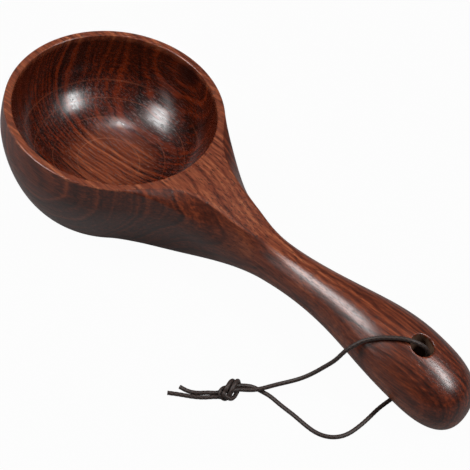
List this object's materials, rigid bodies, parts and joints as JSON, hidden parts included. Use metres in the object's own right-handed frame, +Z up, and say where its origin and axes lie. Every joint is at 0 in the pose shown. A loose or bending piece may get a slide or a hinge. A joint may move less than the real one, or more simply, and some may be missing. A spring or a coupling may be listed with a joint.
{
  "type": "bath ladle",
  "caption": "Carved wooden bath ladle: a deep round bowl, a waisted neck and a thick rounded handle with a drilled hole and a knotted hanging cord.",
  "frame": {"origin": "middle of the wooden ladle's bounding box, on the floor that it lies on", "axes": "+X from the bowl to the end of the handle, +Y to the left seen from the bowl, +Z up; the ladle rests on its base's front edge and on the end of its handle"},
  "size_m": [0.2928, 0.1439, 0.0615],
  "materials": {
    "wood": "lacquered, semi-gloss",
    "cord": "waxed, satin"
  },
  "bodies": {
    "ladle": {"ladle_body": "wood"},
    "cord": {"cord_upper_strand": "cord", "cord_lower_strand": "cord", "cord_knot": "cord", "cord_tail_long": "cord", "cord_tail_short": "cord"}
  },
  "joints": [
    {"name": "cord_swing", "type": "hinge", "parent": "ladle", "child": "cord", "pos_m": [0.11451, 0, 0.02143], "axis": [0, 0, 1], "range_deg": [0, 40]}
  ]
}
